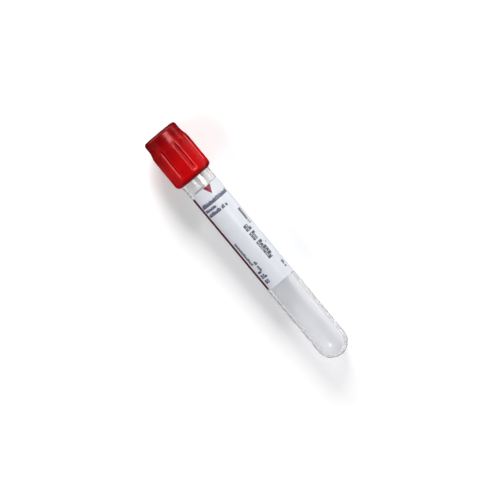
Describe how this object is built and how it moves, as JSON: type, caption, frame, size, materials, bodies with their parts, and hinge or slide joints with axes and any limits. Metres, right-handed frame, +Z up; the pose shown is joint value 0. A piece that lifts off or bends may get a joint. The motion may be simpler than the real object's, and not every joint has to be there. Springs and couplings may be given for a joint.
{
  "type": "blood collection tube",
  "caption": "Round-bottomed clear plastic tube lying on its side, with a rubber stopper, a grooved red grip shield over it and a wrapped label.",
  "frame": {"origin": "on the surface that the tube lies on, under the middle of its length", "axes": "+X towards the tube's round bottom and -X towards the closure, +Z up; the tube's axis rises 1.34 degrees from the round bottom to the closure"},
  "size_m": [0.1072, 0.016, 0.0163],
  "materials": {
    "clear_plastic": "clear, polished",
    "stopper_rubber": "smooth rubber",
    "shield_plastic": "semi-gloss moulded",
    "label_film": "satin printed film"
  },
  "bodies": {
    "tube_body": {"tube": "clear_plastic", "label": "label_film"},
    "closure": {"closure_shield": "shield_plastic", "stopper": "stopper_rubber"}
  },
  "joints": [
    {"name": "closure_pull", "type": "slide", "parent": "tube_body", "child": "closure", "axis": [-0.9997, 0, 0.0233], "range_m": [0, 0.025]}
  ]
}
